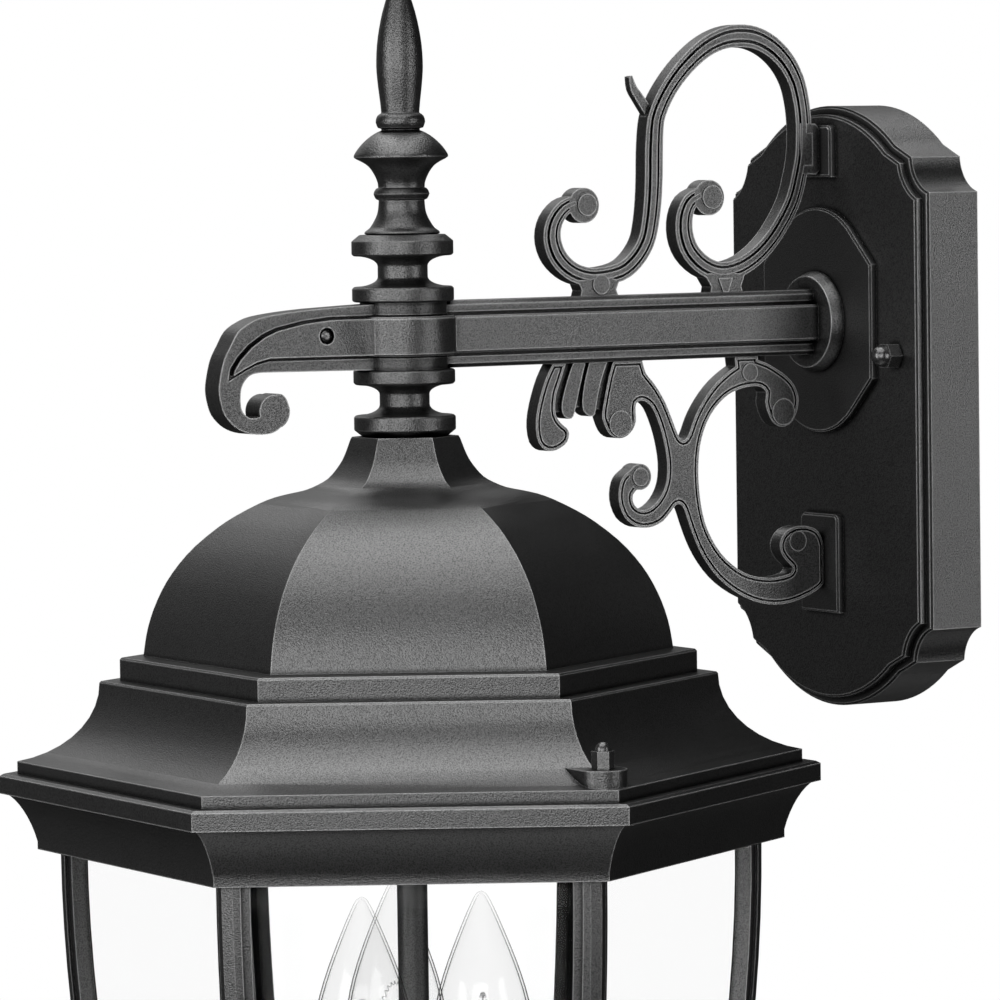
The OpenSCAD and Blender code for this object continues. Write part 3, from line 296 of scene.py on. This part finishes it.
def powder_coat(name, shade, rough, bumps, painted_light=0.0, edge=0.0007, groove=0.002):
    coat = Finish(name, IOR=2.05)
    place = coat.node("TexCoord", out="Object")
    sand = coat.node("TexNoise", {}, {"Vector": place, "Scale": SAND, "Detail": 2.0})
    drift = coat.node("TexNoise", {}, {"Vector": place, "Scale": DRIFT, "Detail": 4.0})
    dullness_and_shade = ((sand - SPECK) * SPECK_GAIN).at_least(0.0).at_most(DULLEST)
    paint = coat.node("ValToRGB", {"stops": [(0.3, grey(shade)), (0.75, grey(shade, PALER))]},
        {"Fac": drift})
    # The strength below sets a painted highlight along the edges, and with it comes painted shade
    # in the grooves.
    if painted_light:
        true_normal = coat.node("NewGeometry", out="Normal")
        round_normal = coat.node("Bevel", {"samples": 4}, {"Radius": edge})
        turned = 1 - coat.node("VectorMath", {"operation": "DOT_PRODUCT"},
            {0: true_normal, 1: round_normal}, out="Value")
        sky = coat.node("AmbientOcclusion", {"samples": 6}, {"Distance": groove}, out="AO")
        # Painted shade: where the sky is shut out, the coat turns fully dull and mirrors nothing.
        groove_shade = ((OPEN_SKY - sky) * GROOVE_SHADE_GAIN).as_mask()
        # Painted highlight: the turned normal marks the edges, which get the lighter grey.
        painted_highlight = (turned * EDGE_GAIN - EDGE_LOSS).as_mask() * (1 - groove_shade)
        paint = coat.node("Mix", {"data_type": "RGBA"}, {0: painted_highlight * painted_light, 6: paint, 7: EDGE_HIGHLIGHT}, out=2)
        # The painted shade in the grooves joins the dull specks of the grain on Metallic.
        dullness_and_shade = dullness_and_shade + groove_shade * (1 - dullness_and_shade)
    bump = coat.node("Bump", {}, {"Strength": bumps, "Distance": SAND_HEIGHT, "Height": sand})
    coat.set(Base_Color=paint, Metallic=dullness_and_shade, Normal=bump,
        Roughness=rough - GLOSS_DRIFT / 2 + drift * GLOSS_DRIFT)
    return coat.material


# The keyword after the bumps sets each coat's painted edge highlight, and with it painted shade in
# its grooves.
black = powder_coat("black_powder_coat", 0.005, 0.3, 0.4, painted_light=0.7)
black_carved = powder_coat("black_carved", 0.005, 0.3, 0.4, painted_light=1.0, edge=0.0009, groove=0.0035)
# The stem pipe gets a darker, rougher copy of the coat: its darker colour is painted shade for the
# inside of the lantern.
shaded_black_pipe = powder_coat("shaded_black_pipe", 0.003, 0.5, 0.3)
black_nut = powder_coat("black_nut", 0.015, 0.25, 0.15, painted_light=0.5, edge=0.0003, groove=0.0004)
print("made", black.name, black_carved.name, shaded_black_pipe.name, black_nut.name)

# %% [markdown]
# ## Glass
# A thin clear pane seen from a few metres away is mostly what lies behind it, plus a mirror image
# that grows towards grazing angles. Real refraction would be slow and noisy, so the glass is a
# mirror whose Alpha follows Layer Weight's Facing: nearly nothing where the pane faces the eye,
# more where it turns away. A bulb's wall is seen edge on at its outline, where it looks dark.

# %% Glass
def thin_glass(name, presence, tint):
    pane = Finish(name, Metallic=1.0, Roughness=0.03)
    turned = pane.node("LayerWeight", {}, {"Blend": 0.5}, out="Facing")
    for socket, stops in (("Alpha", presence), ("Base_Color", tint)):
        levels = [(place, grey(level)) for place, level in stops]
        pane.set(**{socket: pane.node("ValToRGB", {"stops": levels}, {"Fac": turned})})
    return pane.material


pane_glass = thin_glass("clear_glass",
    presence=[(0.0, 0.004), (0.75, 0.015), (0.97, 0.2)],
    tint=[(0.0, 0.95), (0.9, 0.9), (0.99, 0.4)])
bulb_glass = thin_glass("bulb_glass",
    presence=[(0.0, 0.02), (0.6, 0.04), (0.76, 0.1), (0.84, 0.85)],
    tint=[(0.0, 0.7), (0.6, 0.5), (0.78, 0.02)])
print("made", pane_glass.name, bulb_glass.name)

# %% [markdown]
# ## Plating, plastic and wire
# Behind the castings the strap, screws and locknuts are zinc plated, and the ground screw is green.
# The bulb caps are thin brass, the filaments tungsten and the lampholders ivory plastic. None is
# quite even, so one noise shades the colour and the gloss of all of them.

# %% Small finishes
CLOUDS = 260.0          # cloudy spots per metre
CLOUD_GLOSS = 0.12      # how much they change the roughness
CLOUD_SHADE = 0.8       # the darkest spot, as a share of the colour


def clouded(name, colour, rough, metallic=0.0):
    skin = Finish(name, Metallic=metallic)
    place = skin.node("TexCoord", out="Object")
    cloud = skin.node("TexNoise", {}, {"Vector": place, "Scale": CLOUDS, "Detail": 5.0})
    darker = tuple(c * CLOUD_SHADE for c in colour)
    shades = skin.node("ValToRGB", {"stops": [(0.35, (*darker, 1)), (0.6, (*colour, 1))]},
        {"Fac": cloud})
    skin.set(Roughness=rough - CLOUD_GLOSS / 2 + cloud * CLOUD_GLOSS, Base_Color=shades)
    return skin.material


zinc = clouded("zinc_steel", (0.5, 0.51, 0.53), 0.55, metallic=1.0)
brass = clouded("nickel_brass", (0.74, 0.6, 0.36), 0.26, metallic=1.0)
tungsten = clouded("tungsten", (0.36, 0.36, 0.38), 0.4, metallic=1.0)
ivory = clouded("ivory_lampholder", (0.85, 0.82, 0.74), 0.5)
green = clouded("green_screw", (0.1, 0.42, 0.2), 0.35)
print("made", zinc.name, brass.name, tungsten.name, ivory.name, green.name)

# %% [markdown]
# ## Dressing the CAD nodes
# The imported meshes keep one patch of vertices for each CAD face, so a Weld joins them first. A
# casting has no knife edges: a small Bevel on every sharp edge gives each one the thin line of
# light that the photograph shows, and Weighted Normal keeps the flat faces flat. Modifiers leave
# the CAD mesh itself as it is.

# %% Soften and paint each node
slots = {part["node"]: part["material_slot"] for part in frame["record"]["subparts"]}
paints = {"black_powder_coat": black, "black_nut": black_nut, "zinc_steel": zinc,
    "green_screw": green, "clear_glass": pane_glass, "bulb_glass": bulb_glass,
    "ivory_lampholder": ivory, "nickel_brass": brass}
own_paints = {"stem_pipe": shaded_black_pipe, "arm": black_carved,
    "upper_scroll": black_carved, "lower_scroll": black_carved}
JOIN = 2e-6             # the gap between the vertices of neighbouring faces is smaller
SHARP = radians(28)
SMALL_BEVEL = 0.00025
wide_bevels = {"wall_plate": 0.0004, "arm": 0.0004, "roof": 0.0005, "cage": 0.0005}


def soften(obj, width):
    obj.data.polygons.foreach_set("use_smooth", [True] * len(obj.data.polygons))
    obj.modifiers.new("weld", "WELD").merge_threshold = JOIN
    if width:
        bevel = obj.modifiers.new("bevel", "BEVEL")
        bevel.width = width
        bevel.segments = 2
        bevel.limit_method = "ANGLE"
        bevel.angle_limit = SHARP
    obj.modifiers.new("normals", "WEIGHTED_NORMAL").keep_sharp = True


for name, obj in nodes.items():
    obj.data.materials.clear()
    obj.data.materials.append(own_paints.get(name, paints[slots[name]]))
    is_glass = slots[name] in ("clear_glass", "bulb_glass")
    soften(obj, 0 if is_glass else wide_bevels.get(name, SMALL_BEVEL))
print("dressed", len(nodes), "nodes")

# %% [markdown]
# ## Inside the bulbs
# A clear candle bulb shows its works: two lead wires that spread upwards, and a coiled filament
# hung between them in an arch. Wires are thin tubes, skinned along lists of points. Each bulb's
# box gives its axis and foot, so the works follow the CAD.

# %% Tubes
STRAY = Vector((0.31, 0.95, 0.05))      # parallel to no wire, so a cross product is never zero


def tube(work, points, radius, sides):
    ring_before = None
    for i, here in enumerate(points):
        along = points[min(i + 1, len(points) - 1)] - points[max(i - 1, 0)]
        side = along.normalized().cross(STRAY).normalized()
        other = along.normalized().cross(side)
        angles = [2 * pi * k / sides for k in range(sides)]
        ring = [work.verts.new(here + (side * cos(a) + other * sin(a)) * radius) for a in angles]
        if ring_before:
            for k in range(sides):
                j = (k + 1) % sides
                work.faces.new((ring_before[k], ring_before[j], ring[j], ring[k]))
        else:
            work.faces.new(ring[::-1])
        ring_before = ring
    work.faces.new(ring_before)


print("tubes ready")

# %% Bulb works
FOOT = 0.004            # the works start this far above the foot of the glass
LEAD_R, FILAMENT_R, COIL_R = 0.00022, 0.00012, 0.0006
COILS, COIL_POINTS = 15, 120
ARCH_HALF, ARCH_LOW, ARCH_RISE = 0.0055, 0.034, 0.014
LEAD = ((0.0012, 0), (0.0015, 0.012), (0.004, 0.022), (ARCH_HALF, ARCH_LOW))
FIRST_LAMP = -75        # the cluster's turn, in degrees, which the works cross squarely


def coil_round(spot, across, ahead):
    points = []
    for i in range(COIL_POINTS + 1):
        arch = pi * i / COIL_POINTS
        swing = 2 * COILS * arch
        outward = across * cos(arch) + Vector((0, 0, sin(arch)))
        points.append(spot(ARCH_HALF * cos(arch), ARCH_LOW + ARCH_RISE * sin(arch))
            + ahead * COIL_R * cos(swing) + outward * COIL_R * sin(swing))
    return points


for k in (1, 2, 3):
    low, high = (Vector(corner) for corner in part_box("bulb_%d" % k))
    foot = Vector(((low.x + high.x) / 2, (low.y + high.y) / 2, low.z + FOOT))
    turn = radians(120 * k + FIRST_LAMP + 90)
    across, ahead = Vector((cos(turn), sin(turn), 0)), Vector((-sin(turn), cos(turn), 0))

    def spot(sideways, height):
        return foot + across * sideways + Vector((0, 0, height))

    work = bmesh.new()
    for side in (-1, 1):
        tube(work, [spot(side * x, z) for x, z in LEAD], LEAD_R, sides=8)
    tube(work, coil_round(spot, across, ahead), FILAMENT_R, sides=6)
    mesh = bpy.data.meshes.new("filament_%d" % k)
    work.to_mesh(mesh)
    work.free()
    mesh.polygons.foreach_set("use_smooth", [True] * len(mesh.polygons))
    mesh.materials.append(tungsten)
    filament = bpy.data.objects.new("filament_%d" % k, mesh)
    scene.collection.objects.link(filament)
    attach(filament, "root")
    print(filament.name, "stands on", tuple(round(c, 4) for c in foot))
